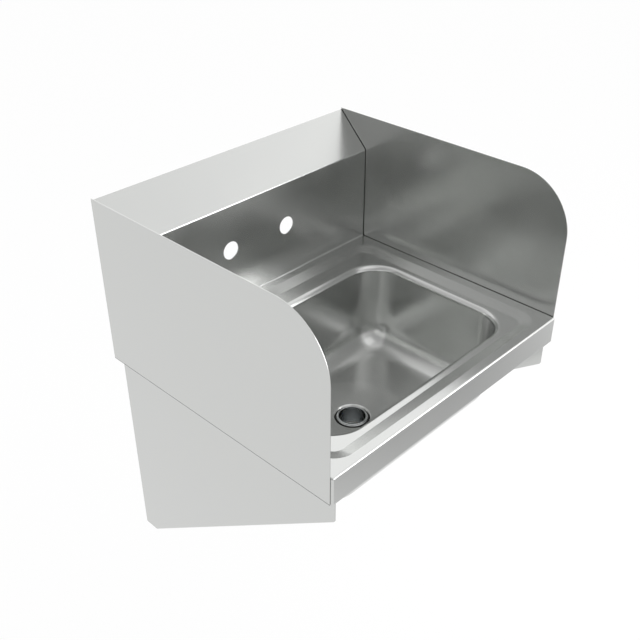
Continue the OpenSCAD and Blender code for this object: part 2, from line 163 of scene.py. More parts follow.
# The folded block: the deck's box, then the back splash and its lean drawn up.
body = start(
    "basin_shell",
    bpy.ops.mesh.primitive_cube_add,
    (2 * body_x, -front_y, -apron_z),
    (0, front_y / 2, apron_z / 2),
    size=1,
)
bpy.ops.mesh.select_all(action="SELECT")
cut((0, splash_y, 0), (0, 1, 0))
pick("FACE", lambda x, y, z: near(z, 0) and y > splash_y - 1)
bpy.ops.mesh.extrude_region_move(TRANSFORM_OT_translate={"value": (0, 0, lean_z / 1000)})
bpy.ops.mesh.extrude_region_move(
    TRANSFORM_OT_translate={"value": (0, 0, (top_z - lean_z) / 1000)}
)
pick("VERT", lambda x, y, z: near(z, top_z) and near(y, splash_y))
bpy.ops.transform.translate(value=(0, -splash_y / 1000, 0))
bpy.ops.mesh.select_all(action="SELECT")
bpy.ops.mesh.remove_doubles(threshold=0.0001)
bpy.ops.mesh.dissolve_limited(angle_limit=radians(1))

# Its folds. An edge's weight is its fold's share of the widest one, over the wall hook.
mesh = bmesh.from_edit_mesh(body.data)
weight = mesh.edges.layers.float.new("bevel_weight_edge")
widest = hook_fold * tan(radians(67.5))
for edge in mesh.edges:
    (ya, za), (yb, zb) = [(v.co.y * 1000, v.co.z * 1000 - DECK_LEVEL) for v in edge.verts]
    if near(ya, 0) and near(yb, 0):
        edge[weight] = 1 if near(za, top_z) and near(zb, top_z) else 0
    elif near(za, lean_z) and near(zb, lean_z):
        edge[weight] = fold * tan(radians(22.5)) / widest
    elif near(za, apron_z) and near(zb, apron_z):
        edge[weight] = hem_fold / widest
    else:
        edge[weight] = fold / widest
bmesh.update_edit_mesh(body.data)
bpy.ops.object.mode_set(mode="OBJECT")
folds = body.modifiers.new("folds", "BEVEL")
folds.limit_method = "WEIGHT"
folds.width = widest / 1000
folds.segments = 8
folds.use_clamp_overlap = False
bpy.ops.object.modifier_apply(modifier=folds.name)
bpy.ops.object.mode_set(mode="EDIT")

# What the sheet leaves open: the wall side down from the hook flange, what lies deeper
# than the side flanges, and the underside inside the hem.
bpy.ops.mesh.select_all(action="SELECT")
cut((0, flange_y, 0), (0, 1, 0))
pick("FACE", lambda x, y, z: near(y, 0))
cut((0, 0, hook_flange_z), (0, 0, 1))
lean_flange_z = lean_z + (splash_y - flange_y) * tan(radians(22.5))
pick("FACE", lambda x, y, z: near(abs(x), body_x))
cut((0, flange_y, lean_flange_z), (0, -1, 1))
for side in (-1, 1):
    pick("FACE", lambda x, y, z: near(z, apron_z))
    cut((side * (body_x - hem_w), 0, 0), (1, 0, 0))
pick("FACE", lambda x, y, z: near(z, apron_z))
cut((0, front_y + hem_w, 0), (0, 1, 0))
pick(
    "FACE",
    lambda x, y, z: y > flange_y - 0.1
    and z < lean_flange_z + y - flange_y + 0.1
    and not (near(y, 0) and z > hook_flange_z + 1),
)
bpy.ops.mesh.delete(type="FACE")
pick(
    "FACE",
    lambda x, y, z: near(z, apron_z)
    and abs(x) < body_x - hem_w + 0.1
    and y > front_y + hem_w - 0.1,
)
bpy.ops.mesh.delete(type="FACE")

# The faucet holes, punched in the flat of the back splash.
faucet_x = 50.8
faucet_z = 76.2
faucet_r = 12.7
pick("FACE", lambda x, y, z: near(y, splash_y) and 0 < z < lean_z)
bpy.ops.mesh.delete(type="ONLY_FACE")
for side in (-1, 1):
    bpy.ops.mesh.primitive_circle_add(
        vertices=64,
        radius=faucet_r / 1000,
        location=at(side * faucet_x, splash_y, faucet_z),
        rotation=(pi / 2, 0, 0),
    )
pick("EDGE", lambda x, y, z: near(y, splash_y) and 0 < z < lean_z, rim=True)
bpy.ops.mesh.fill()

# The bowl: a face with round corners, pressed down over the roll, the wall and the floor.
# What is left inside the last ring keeps a small round corner.
bowl_w = 355.6
bowl_d = 254
bowl_y = -228.6
corner_r = 54
roll_r = 9
floor_r = 36
draft = 2
inner_corner = 6.2
roll_x = corner_r - roll_r * tan(radians((90 - draft) / 2))
bpy.ops.mesh.primitive_plane_add(size=1, location=at(0, bowl_y, bowl_z))
bpy.ops.transform.resize(value=(bowl_w / 1000, bowl_d / 1000, 1))
bpy.ops.mesh.bevel(offset=corner_r / 1000, segments=32, affect="VERTICES")
pick("FACE", lambda x, y, z: near(z, bowl_z))
press(
    rounded(
        [
            (corner_r, bowl_z, 0),
            (roll_x, bowl_z, roll_r),
            (roll_x - (bowl_z - floor_z) * tan(radians(draft)), floor_z, floor_r),
            (inner_corner, floor_z, 0),
        ]
    )
)
bpy.ops.mesh.delete(type="ONLY_FACE")

# The dish round the drain, the seat of the drain's flange and the hole in it.
dish_r = 75
dish_rim_r = 75.8
dish_depth = 2.5
seat_mouth_r = 25.4
seat_r = 23.1
seat_depth = 4.7
drain_hole_r = 20.95
bpy.ops.mesh.primitive_circle_add(
    vertices=132, radius=dish_rim_r / 1000, fill_type="NGON", location=at(0, drain_y, floor_z)
)
pick(
    "FACE",
    lambda x, y, z: near(z, floor_z) and Vector((x, y - drain_y)).length < dish_rim_r + 0.2,
)
press(
    rounded(
        [
            (dish_rim_r, floor_z, 0),
            (dish_r, floor_z, 30),
            (seat_mouth_r, floor_z - dish_depth, 1.6),
            (seat_r, floor_z - seat_depth, 0.8),
            (drain_hole_r, floor_z - seat_depth, 0),
        ]
    )
)
bpy.ops.mesh.delete(type="ONLY_FACE")
pick("EDGE", lambda x, y, z: near(z, floor_z), rim=True)
bpy.ops.mesh.bridge_edge_loops()

# The stamped step, and the flat of the deck and of the step, filled in between. Its
# slope runs in from one corner radius to the other.
step_x = 199
step_front = -378.5
step_rear = -63.5
step_outer_r = 30.5
step_inner_r = 13
step_fold = 3
pick("FACE", lambda x, y, z: near(z, 0) and y < splash_y)
bpy.ops.mesh.delete(type="ONLY_FACE")
step_line = rounded(
    [
        (step_outer_r, 0, 0),
        (step_outer_r - 0.5, 0, step_fold),
        (step_inner_r + 0.5, bowl_z, step_fold),
        (step_inner_r, bowl_z, 0),
    ]
)
bpy.ops.mesh.primitive_plane_add(size=1, location=at(0, (step_front + step_rear) / 2, 0))
bpy.ops.transform.resize(value=(2 * step_x / 1000, (step_rear - step_front) / 1000, 1))
bpy.ops.mesh.bevel(offset=step_outer_r / 1000, segments=32, affect="VERTICES")
pick("FACE", lambda x, y, z: near(z, 0) and abs(x) < step_x + 1 and y < splash_y)
press(step_line)
bpy.ops.mesh.delete(type="ONLY_FACE")
pick("EDGE", lambda x, y, z: near(z, bowl_z), rim=True)
bpy.ops.mesh.bridge_edge_loops()
pick("EDGE", lambda x, y, z: near(z, 0) and y < splash_y, rim=True)
bpy.ops.mesh.fill()
thicken(body, sheet)
finish(body)
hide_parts("basin_body")
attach(body, "root")


def linear(hex_colour):
    """An sRGB hex colour as linear red, green, blue and alpha."""
    parts = [int(hex_colour[i : i + 2], 16) / 255 for i in (1, 3, 5)]
    return [c / 12.92 if c <= 0.04045 else ((c + 0.055) / 1.055) ** 2.4 for c in parts] + [1]


def add_node(material, kind, links=(), **settings):
    """Adds a node with its settings, and joins (input, node, output) links to it."""
    node = material.node_tree.nodes.new(kind)
    for name, value in settings.items():
        if hasattr(node, name):
            setattr(node, name, value)
        else:
            node.inputs[name.replace("_", " ")].default_value = value
    for socket, source, output in links:
        material.node_tree.links.new(source.outputs[output], node.inputs[socket])
    return node


# Stainless steel, type 304 sheet, rolled and then blasted satin: a softly blurred
# mirror. Its sheen wanders a little over a hand's breadth, and its grit is too fine to
# see, so that it is drawn at 0.4 mm. Where two sheets meet, and in every other crease, a
# painted shade darkens the last millimetre.
satin = bpy.data.materials.new("satin_stainless_steel")
satin.use_nodes = True
shader = satin.node_tree.nodes["Principled BSDF"]
shader.inputs["Metallic"].default_value = 1
place = add_node(satin, "ShaderNodeTexCoord")
cloud = add_node(
    satin, "ShaderNodeTexNoise", [("Vector", place, "Object")], Scale=1 / 0.09, Detail=2
)
grit = add_node(
    satin, "ShaderNodeTexNoise", [("Vector", place, "Object")], Scale=1 / 0.0004, Detail=1
)
sheen = add_node(
    satin, "ShaderNodeMapRange", [("Value", cloud, "Fac")], From_Min=0.3, From_Max=0.7
)
sheen.inputs["To Min"].default_value = 0.2
sheen.inputs["To Max"].default_value = 0.25
grain = add_node(
    satin,
    "ShaderNodeMath",
    [(0, grit, "Fac"), (2, sheen, "Result")],
    operation="MULTIPLY_ADD",
)
grain.inputs[1].default_value = 0.03
tint = add_node(satin, "ShaderNodeMix", [("Factor", cloud, "Fac")], data_type="RGBA")
tint.inputs[6].default_value = linear("#CBCCCB")
tint.inputs[7].default_value = linear("#CECFCD")
# Painted shade: the ambient occlusion node finds the crevices, and the steel's colour is
# darkened there.
crevice = add_node(satin, "ShaderNodeAmbientOcclusion", samples=6, Distance=0.003)
crevice_shade = add_node(
    satin, "ShaderNodeMapRange", [("Value", crevice, "AO")], From_Min=0.2, From_Max=0.58
)
steel = add_node(
    satin, "ShaderNodeMix", [("Factor", crevice_shade, "Result"), (7, tint, 2)], data_type="RGBA"
)
# The dark grey painted into the crevices as shade.
steel.inputs[6].default_value = linear("#6C6B68")
relief = add_node(
    satin, "ShaderNodeBump", [("Height", grit, "Fac")], Strength=0.03, Distance=0.00001
)
satin.node_tree.links.new(grain.outputs[0], shader.inputs["Roughness"])
satin.node_tree.links.new(steel.outputs[2], shader.inputs["Base Color"])
satin.node_tree.links.new(relief.outputs[0], shader.inputs["Normal"])
body.data.materials.append(satin)


# ---- Side splashes
# Two plates of the same sheet, sheared with one round corner and deburred. They are
# welded to the flanges of the body from behind. Their lower edge is only filed over, and
# its dark grey is a painted shade, which shows as a thin dark line above the skirts.

# Stainless steel, as the shear and the file left it: dull and scored across, and painted dark
# grey as shade.
filed_and_shaded = bpy.data.materials.new("filed_edge_painted_shade")
filed_and_shaded.use_nodes = True
shader = filed_and_shaded.node_tree.nodes["Principled BSDF"]
shader.inputs["Metallic"].default_value = 1
place = add_node(filed_and_shaded, "ShaderNodeTexCoord")
along = add_node(filed_and_shaded, "ShaderNodeMapping", [("Vector", place, "Object")])
along.inputs["Scale"].default_value = (0.1, 1, 0.1)
scores = add_node(
    filed_and_shaded, "ShaderNodeTexNoise", [("Vector", along, "Vector")], Scale=1 / 0.0003, Detail=1
)
dullness = add_node(
    filed_and_shaded, "ShaderNodeMapRange", [("Value", scores, "Fac")], To_Min=0.4, To_Max=0.6
)
grey = add_node(filed_and_shaded, "ShaderNodeMix", [("Factor", scores, "Fac")], data_type="RGBA")
# Painted shade: both greys are set far darker than the steel, so the edge reads as a dark line.
grey.inputs[6].default_value = linear("#4C4D4C")
grey.inputs[7].default_value = linear("#6A6B69")
relief = add_node(
    filed_and_shaded, "ShaderNodeBump", [("Height", scores, "Fac")], Strength=0.3, Distance=0.00002
)
filed_and_shaded.node_tree.links.new(dullness.outputs[0], shader.inputs["Roughness"])
filed_and_shaded.node_tree.links.new(grey.outputs[2], shader.inputs["Base Color"])
filed_and_shaded.node_tree.links.new(relief.outputs[0], shader.inputs["Normal"])

plate_d = 387.35
plate_corner = 76.2
filed_shade_w = 1.3
filed_round = 0.8
burr_round = 0.3
for side, name in ((-1, "left_side_plate"), (1, "right_side_plate")):
    plate = start(
        name,
        bpy.ops.mesh.primitive_cube_add,
        (sheet, plate_d, top_z - apron_z),
        (side * (body_x + sheet / 2), -plate_d / 2, (top_z + apron_z) / 2),
        size=1,
    )
    pick("EDGE", lambda x, y, z: near(y, -plate_d) and near(z, top_z))
    bpy.ops.mesh.bevel(offset=plate_corner / 1000, segments=48)
    pick("EDGE", lambda x, y, z: near(z, apron_z) and near(abs(x), body_x + sheet))
    bpy.ops.mesh.bevel(offset=filed_round / 1000, segments=4)
    bpy.ops.mesh.select_all(action="SELECT")
    cut((0, 0, apron_z + filed_shade_w), (0, 0, 1))
    bpy.ops.object.mode_set(mode="OBJECT")
    burr = plate.modifiers.new("deburred edge", "BEVEL")
    burr.width = burr_round / 1000
    burr.segments = 3
    burr.limit_method = "ANGLE"
    burr.angle_limit = radians(60)
    bpy.ops.object.modifier_apply(modifier=burr.name)
    plate.data.materials.append(satin)
    plate.data.materials.append(filed_and_shaded)
    bpy.ops.object.mode_set(mode="EDIT")
    # The strip along the lower edge gets the filed edge's painted shade.
    pick("FACE", lambda x, y, z: z < apron_z + filed_shade_w + 0.01 and abs(x) > body_x + 0.3)
    plate.active_material_index = 1
    bpy.ops.object.material_slot_assign()
    finish(plate)
    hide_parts(name.replace("plate", "splash"))
    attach(plate, "root")


# ---- Skirt brackets
# Two more pieces of the sheet. Each turns in along the wall, where two screws hold it,
# and turns out at its top to lie on the hem under the deck.

skirt_x = 204.8
skirt_d = 385
skirt_z = -342.9
slope_z = -72  # where the sloping front edge starts
foot_d = 25.4
slope = 53  # its angle to the upright, in degrees
toe_r = 4
hem_front = -381.8  # the fold over the hem starts behind this
over_hem = 6.1
wall_flange_w = 28
screw_x = 190.5
screw_r = 4
screw_rows = (-88.9, -292.1)
for side, name in ((-1, "left_bracket"), (1, "right_bracket")):
    bracket = start(
        name,
        bpy.ops.mesh.primitive_plane_add,
        (apron_z - skirt_z, skirt_d - fold, 1),
        (skirt_x, -(skirt_d + fold) / 2, (skirt_z + apron_z) / 2),
        size=1,
        rotation=(0, pi / 2, 0),
    )
    bpy.ops.mesh.select_all(action="SELECT")
    cut(
        (skirt_x, -skirt_d, slope_z),
        (0, skirt_z - slope_z, foot_d - skirt_d),
        clear_outer=True,
    )
    for corner_y, turn in ((-skirt_d, slope), (-foot_d, 90 - slope)):
        pick("VERT", lambda x, y, z: near(y, corner_y) and z < apron_z - 1)
        bpy.ops.mesh.bevel(
            offset=toe_r / 1000 * tan(radians(turn / 2)), segments=8, affect="VERTICES"
        )
    bpy.ops.mesh.select_all(action="SELECT")
    cut((skirt_x, hem_front, 0), (0, 1, 0))

    # The fold over the hem, then the one along the wall.
    pick("EDGE", lambda x, y, z: near(z, apron_z) and y > hem_front - 0.2, rim=True)
    bpy.ops.mesh.spin(
        steps=8, angle=-pi / 2, center=at(skirt_x + sheet, 0, apron_z), axis=(0, 1, 0)
    )
    bpy.ops.mesh.extrude_region_move(
        TRANSFORM_OT_translate={"value": (over_hem / 1000, 0, 0)}
    )
    pick("EDGE", lambda x, y, z: near(y, -fold) and near(x, skirt_x), rim=True)
    bpy.ops.mesh.spin(
        steps=8, angle=-pi / 2, center=at(skirt_x - fold, -fold, 0), axis=(0, 0, 1)
    )
    bpy.ops.mesh.extrude_region_move(
        TRANSFORM_OT_translate={"value": (-(wall_flange_w - fold) / 1000, 0, 0)}
    )

    # The heel's round corner, cut facet by facet across the fold.
    for turn in range(15, 90, 15):
        bpy.ops.mesh.select_all(action="SELECT")
        back, down = toe_r * sin(radians(turn)), toe_r * cos(radians(turn))
        cut(
            (skirt_x, back - toe_r, skirt_z + toe_r - down),
            (0, back, -down),
            clear_outer=True,
        )
    bpy.ops.mesh.select_all(action="SELECT")
    bpy.ops.mesh.remove_doubles(threshold=0.0002)
    bpy.ops.mesh.dissolve_degenerate(threshold=0.0002)
    pick("FACE", lambda x, y, z: near(y, 0))
    bpy.ops.mesh.delete(type="ONLY_FACE")
    for hole_z in screw_rows:
        bpy.ops.mesh.primitive_circle_add(
            vertices=32,
            radius=screw_r / 1000,
            location=at(screw_x, 0, hole_z),
            rotation=(pi / 2, 0, 0),
        )
    pick("EDGE", lambda x, y, z: near(y, 0), rim=True)
    bpy.ops.mesh.fill()
    bpy.ops.mesh.select_all(action="SELECT")
    bpy.ops.mesh.normals_make_consistent(inside=False)
    thicken(bracket, sheet)
    if side < 0:
        bpy.ops.mesh.select_all(action="SELECT")
        bpy.ops.transform.mirror(constraint_axis=(True, False, False), center_override=(0, 0, 0))
        bpy.ops.mesh.normals_make_consistent(inside=False)
    finish(bracket)
    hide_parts(name.replace("bracket", "skirt"))
    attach(bracket, "root")
    bracket.data.materials.append(satin)


# ---- Wall hook
# A galvanised strip, screwed to the wall before the basin is hung. It is bent out and up
# by two folds, so that the basin's hook flange can drop behind its lip.

hook_t = 1.9
hook_x = 177.8
hook_low = 107.95
hook_bend = 163.7
hook_out = 1.4
hook_high = 184.1
hook_hole_x = 152.4
hook_hole_r = 3.55
hook_hole_rows = (120.65, 146.05)
hook_corner = 2
bend_r = 0.5
hook = start(
    "wall_strip",
    bpy.ops.mesh.primitive_plane_add,
    (2 * hook_x, hook_bend - hook_low, 1),
    (0, 0, (hook_bend + hook_low) / 2),
    size=1,
    rotation=(pi / 2, 0, 0),
)
pick("VERT", lambda x, y, z: near(z, hook_low))
bpy.ops.mesh.bevel(offset=hook_corner / 1000, segments=5, affect="VERTICES")
bpy.ops.mesh.select_all(action="SELECT")
bpy.ops.mesh.delete(type="ONLY_FACE")
for hole_x in (-hook_hole_x, hook_hole_x):
    for hole_z in hook_hole_rows:
        bpy.ops.mesh.primitive_circle_add(
            vertices=48,
            radius=hook_hole_r / 1000,
            location=at(hole_x, 0, hole_z),
            rotation=(pi / 2, 0, 0),
        )
bpy.ops.mesh.select_all(action="SELECT")
bpy.ops.mesh.fill()
pick("EDGE", lambda x, y, z: near(z, hook_bend))
for out, up in ((hook_out, hook_out), (0, hook_high - hook_bend - hook_out)):
    bpy.ops.mesh.extrude_region_move(
        TRANSFORM_OT_translate={"value": (0, -out / 1000, up / 1000)}
    )
for bend_z in (hook_bend, hook_bend + hook_out):
    pick("EDGE", lambda x, y, z: near(z, bend_z))
    bpy.ops.mesh.bevel(offset=bend_r / 1000, segments=4, affect="EDGES")
pick("VERT", lambda x, y, z: near(abs(x), hook_x) and near(z, hook_high))
bpy.ops.mesh.bevel(offset=hook_corner / 1000, segments=5, affect="VERTICES")
bpy.ops.mesh.select_all(action="SELECT")
bpy.ops.mesh.normals_make_consistent(inside=True)
thicken(hook, hook_t)
finish(hook)
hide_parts("wall_hook")
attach(hook, "root")

# Hot-dip galvanised steel: dull zinc, grown over the strip in crystals some 7 mm wide,
# each of its own grey and gloss.
zinc = bpy.data.materials.new("galvanised_steel")
zinc.use_nodes = True
shader = zinc.node_tree.nodes["Principled BSDF"]
shader.inputs["Metallic"].default_value = 1
place = add_node(zinc, "ShaderNodeTexCoord")
ragged = add_node(
    zinc, "ShaderNodeTexNoise", [("Vector", place, "Object")], Scale=1 / 0.004, Detail=3
)
warped = add_node(
    zinc,
    "ShaderNodeVectorMath",
    [(0, ragged, "Color"), (2, place, "Object")],
    operation="MULTIPLY_ADD",
)
warped.inputs[1].default_value = (0.003, 0.003, 0.003)
spangle = add_node(
    zinc, "ShaderNodeTexVoronoi", [("Vector", warped, "Vector")], Scale=1 / 0.007
)
grey = add_node(zinc, "ShaderNodeMix", [("Factor", spangle, "Color")], data_type="RGBA")
grey.inputs[6].default_value = linear("#A6AAAC")
grey.inputs[7].default_value = linear("#C0C4C6")
gloss = add_node(
    zinc, "ShaderNodeMapRange", [("Value", spangle, "Color")], To_Min=0.32, To_Max=0.5
)
relief = add_node(
    zinc, "ShaderNodeBump", [("Height", ragged, "Fac")], Strength=0.2, Distance=0.00005
)
zinc.node_tree.links.new(grey.outputs[2], shader.inputs["Base Color"])
zinc.node_tree.links.new(gloss.outputs[0], shader.inputs["Roughness"])
zinc.node_tree.links.new(relief.outputs[0], shader.inputs["Normal"])
hook.data.materials.append(zinc)


# ---- Drain body
# Chrome-plated brass, cast and turned: a thin flange with a raised bead round its
# mouth, and a barrel whose thread takes the two nuts below the bowl.

seat_z = -136.2
flange_z = seat_z + 0.5
barrel_z = flange_z - 23.5
barrel_r = 20.65
bore_r = 18.3
thread_depth = 0.8
flange_r = 21.4
bead_r = 20.5
bead_z = flange_z + 3


def turned(name, outline, steps=144):
    """Turns a closed line of (radius, height) points about the drain's axis."""
    bpy.ops.object.select_all(action="DESELECT")
    bpy.ops.mesh.primitive_circle_add(
        vertices=steps, radius=outline[0].x / 1000, location=at(0, drain_y, outline[0].y)
    )
    piece = bpy.context.object
    piece.name = piece.data.name = name
    bpy.ops.object.transform_apply(location=True, rotation=True, scale=True)
    bpy.ops.object.mode_set(mode="EDIT")
    bpy.ops.mesh.select_all(action="SELECT")
    for a, b in zip(outline, outline[1:]):
        bpy.ops.mesh.extrude_region_move(
            TRANSFORM_OT_translate={"value": (0, 0, (b.y - a.y) / 1000)}
        )
        wider = b.x / a.x
        bpy.ops.transform.resize(
            value=(wider, wider, 1), center_override=at(0, drain_y, b.y)
        )
    bpy.ops.mesh.select_all(action="SELECT")
    bpy.ops.mesh.remove_doubles(threshold=0.000002)
    bpy.ops.mesh.normals_make_consistent(inside=False)
    return piece


def thread(radius, depth, low, high, pitch=2.2):
    """The corners of a thread's ridges along a barrel or a bore, from low up to high."""
    turns = int((high - low) / pitch)
    line = []
    for i in range(turns):
        z = high - (turns - i) * pitch
        line += [(radius - depth, z + 0.15 * pitch, 0.1), (radius, z + 0.5 * pitch, 0.12)]
    return line + [(radius - depth, high, 0.1)]


drain = turned(
    "drain_flange_and_barrel",
    rounded(
        [
            (bore_r, (flange_z + barrel_z) / 2, 0),
            (bore_r, barrel_z, 0.4),
            (barrel_r - thread_depth, barrel_z, 0.4),
            *thread(barrel_r, thread_depth, barrel_z + 0.8, flange_z - 4),
            (barrel_r - thread_depth, flange_z, 0.2),
            (flange_r, flange_z, 0.2),
            (flange_r, flange_z + 1.1, 0.4),
            (bead_r, flange_z + 1.45, 0.2),
            (bead_r, bead_z, 0.9),
            (bore_r, bead_z, 0.9),
            (bore_r, (flange_z + barrel_z) / 2, 0),
        ],
        step=15,
    ),
)
finish(drain)
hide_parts("drain_body")
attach(drain, "root")

# Chrome plated over turned brass: nearly a mirror, a little bluer than the sheet. The
# fine rings that the lathe left show through the plate.
chrome = bpy.data.materials.new("polished_chrome_plating")
chrome.use_nodes = True
shader = chrome.node_tree.nodes["Principled BSDF"]
shader.inputs["Metallic"].default_value = 1
place = add_node(chrome, "ShaderNodeTexCoord")
axis = add_node(chrome, "ShaderNodeVectorMath", [(0, place, "Object")], operation="SUBTRACT")
axis.inputs[1].default_value = at(0, drain_y, 0)
rings = add_node(
    chrome,
    "ShaderNodeTexWave",
    [("Vector", axis, "Vector")],
    wave_type="BANDS",
    bands_direction="Z",
    Scale=2 * pi / 20 / 0.0004,
    Distortion=1,
)
haze = add_node(
    chrome, "ShaderNodeTexNoise", [("Vector", place, "Object")], Scale=1 / 0.008, Detail=3
)
gloss = add_node(
    chrome, "ShaderNodeMapRange", [("Value", haze, "Fac")], To_Min=0.14, To_Max=0.24
)
tone = add_node(chrome, "ShaderNodeMix", [("Factor", haze, "Fac")], data_type="RGBA")
tone.inputs[6].default_value = linear("#B4B6B7")
tone.inputs[7].default_value = linear("#C2C4C4")
relief = add_node(
    chrome, "ShaderNodeBump", [("Height", rings, "Fac")], Strength=0.1, Distance=0.00002
)
chrome.node_tree.links.new(tone.outputs[2], shader.inputs["Base Color"])
chrome.node_tree.links.new(gloss.outputs[0], shader.inputs["Roughness"])
chrome.node_tree.links.new(relief.outputs[0], shader.inputs["Normal"])
drain.data.materials.append(chrome)


# ---- Seal, washer and slip ring
# The black rubber seal sits in the seat and laps up round the flange, where it shows as
# a dark ring. Below the bowl, a rubber washer and a fibre ring take the nut's pull.

seal_r = 22.8
seal_lip_r = 21.5
seal_top = flange_z + 0.9
seal = turned(
    "seat_seal",
    rounded(
        [
            (drain_hole_r, seat_z, 0),
            (seal_r, seat_z, 0.3),
            (seal_r, seal_top, 0.5),
            (seal_lip_r, seal_top, 0.4),
            (seal_lip_r, flange_z, 0),
            (drain_hole_r, flange_z, 0),
            (drain_hole_r, seat_z, 0),
        ],
        step=15,
    ),
)
finish(seal)
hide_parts("flange_seal")
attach(seal, "root")

# Moulded black rubber: matt, with the fine pitting of its mould and a faint grey bloom.
rubber = bpy.data.materials.new("moulded_black_rubber")
rubber.use_nodes = True
shader = rubber.node_tree.nodes["Principled BSDF"]
place = add_node(rubber, "ShaderNodeTexCoord")
bloom = add_node(
    rubber, "ShaderNodeTexNoise", [("Vector", place, "Object")], Scale=1 / 0.012, Detail=3
)
pits = add_node(
    rubber, "ShaderNodeTexNoise", [("Vector", place, "Object")], Scale=1 / 0.0005, Detail=2
)
black = add_node(rubber, "ShaderNodeMix", [("Factor", bloom, "Fac")], data_type="RGBA")
black.inputs[6].default_value = linear("#181818")
black.inputs[7].default_value = linear("#2A2A29")
dullness = add_node(
    rubber, "ShaderNodeMapRange", [("Value", bloom, "Fac")], To_Min=0.5, To_Max=0.75
)
relief = add_node(
    rubber, "ShaderNodeBump", [("Height", pits, "Fac")], Strength=0.3, Distance=0.00005
)
rubber.node_tree.links.new(black.outputs[2], shader.inputs["Base Color"])
rubber.node_tree.links.new(dullness.outputs[0], shader.inputs["Roughness"])
rubber.node_tree.links.new(relief.outputs[0], shader.inputs["Normal"])
seal.data.materials.append(rubber)

washer_r = 29
washer_t = 3
under_z = seat_z - sheet
ring_z = under_z - washer_t
washer = turned(
    "bowl_washer",
    rounded(
        [
            (drain_hole_r, under_z - washer_t / 2, 0),
            (drain_hole_r, ring_z, 0.3),
            (washer_r, ring_z, 0.5),
            (washer_r, under_z, 0.5),
            (drain_hole_r, under_z, 0.3),
            (drain_hole_r, under_z - washer_t / 2, 0),
        ],
        step=15,
    ),
)
finish(washer)
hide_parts("rubber_washer")
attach(washer, "root")
washer.data.materials.append(rubber)

ring_t = 0.8
ring = turned(
    "pressed_fibre_ring",
    rounded(
        [
            (drain_hole_r, ring_z - ring_t / 2, 0),
            (drain_hole_r, ring_z - ring_t, 0.1),
            (washer_r, ring_z - ring_t, 0.2),
            (washer_r, ring_z, 0.2),
            (drain_hole_r, ring_z, 0.1),
            (drain_hole_r, ring_z - ring_t / 2, 0),
        ],
        step=30,
    ),
)
finish(ring)
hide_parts("slip_ring")
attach(ring, "root")

# Pressed fibre board: tan, dry and matt, with short fibres lying flat in all directions.
fibre = bpy.data.materials.new("pressed_fibre_board")
fibre.use_nodes = True
shader = fibre.node_tree.nodes["Principled BSDF"]
place = add_node(fibre, "ShaderNodeTexCoord")
strands = add_node(
    fibre,
    "ShaderNodeTexNoise",
    [("Vector", place, "Object")],
    Scale=1 / 0.0015,
    Detail=5,
    Distortion=2,
)
tan_shade = add_node(fibre, "ShaderNodeMix", [("Factor", strands, "Fac")], data_type="RGBA")
tan_shade.inputs[6].default_value = linear("#8C6C44")
tan_shade.inputs[7].default_value = linear("#BE9E72")
dullness = add_node(
    fibre, "ShaderNodeMapRange", [("Value", strands, "Fac")], To_Min=0.7, To_Max=0.85
)
relief = add_node(
    fibre, "ShaderNodeBump", [("Height", strands, "Fac")], Strength=0.4, Distance=0.0001
)
fibre.node_tree.links.new(tan_shade.outputs[2], shader.inputs["Base Color"])
fibre.node_tree.links.new(dullness.outputs[0], shader.inputs["Roughness"])
fibre.node_tree.links.new(relief.outputs[0], shader.inputs["Normal"])
ring.data.materials.append(fibre)


# ---- Nuts
# Hexagons forged in brass with turned corners and chrome plate. The locknut clamps the
# drain body, and the coupling nut holds the tailpiece by its lip.


def hex_nut(name, bore, flats, low, high):
    """A six-sided bar crossed with a turned ring that has the bore and the chamfers."""
    corner = flats / 2 / cos(pi / 6)
    chamfer = (corner - flats / 2) * tan(pi / 6)
    blank = turned(
        name,
        rounded(
            bore
            + [
                (flats / 2, low, 0),
                (corner + 0.5, low + chamfer * 1.2, 0),
                (corner + 0.5, high - chamfer * 1.2, 0),
                (flats / 2, high, 0),
                bore[0],
            ],
            step=15,
        ),
    )
    bpy.ops.object.mode_set(mode="OBJECT")
    bpy.ops.mesh.primitive_cylinder_add(
        vertices=6,
        radius=corner / 1000,
        depth=(high - low + 4) / 1000,
        location=at(0, drain_y, (low + high) / 2),
        rotation=(0, 0, pi / 6),
    )
    bar = bpy.context.object
    bpy.ops.object.transform_apply(location=True, rotation=True, scale=True)
    bpy.ops.object.select_all(action="DESELECT")
    bpy.context.view_layer.objects.active = blank
    blank.select_set(True)
    cross = blank.modifiers.new("flats", "BOOLEAN")
    cross.operation = "INTERSECT"
    cross.solver = "EXACT"
    cross.object = bar
    bpy.ops.object.modifier_apply(modifier=cross.name)
    bpy.data.objects.remove(bar)
    bpy.ops.object.mode_set(mode="EDIT")
    return blank


locknut_flats = 54
locknut_top = ring_z - ring_t
locknut_low = locknut_top - 6.5
locknut = hex_nut(
    "clamping_nut",
    [
        (barrel_r, locknut_top, 0.5),
        (barrel_r, locknut_top - 3, 0),
        (barrel_r, locknut_low, 0.5),
    ],
    locknut_flats,
    locknut_low,
    locknut_top,
)
finish(locknut)
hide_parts("drain_locknut")
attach(locknut, "root")
locknut.data.materials.append(chrome)

tail_washer_t = 1.6
tail_flange_t = 1.6
coupling_flats = 47
coupling_lip_t = 2
coupling_lip_r = 19.35
coupling_z = barrel_z - tail_washer_t - tail_flange_t - coupling_lip_t
coupling_top = barrel_z + 7
coupling = hex_nut(
    "tailpiece_nut",
    [
        (barrel_r, coupling_top, 0),
        (barrel_r, coupling_z + coupling_lip_t, 0.2),
        (coupling_lip_r, coupling_z + coupling_lip_t, 0.2),
        (coupling_lip_r, coupling_z, 0),
    ],
    coupling_flats,
    coupling_z,
    coupling_top,
)
finish(coupling)
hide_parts("coupling_nut")
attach(coupling, "root")
coupling.data.materials.append(chrome)


# ---- Tailpiece and its washer
# A drawn brass tube with a flange rolled out at its top. The coupling nut pulls the
# flange and a white nylon washer up against the drain body.

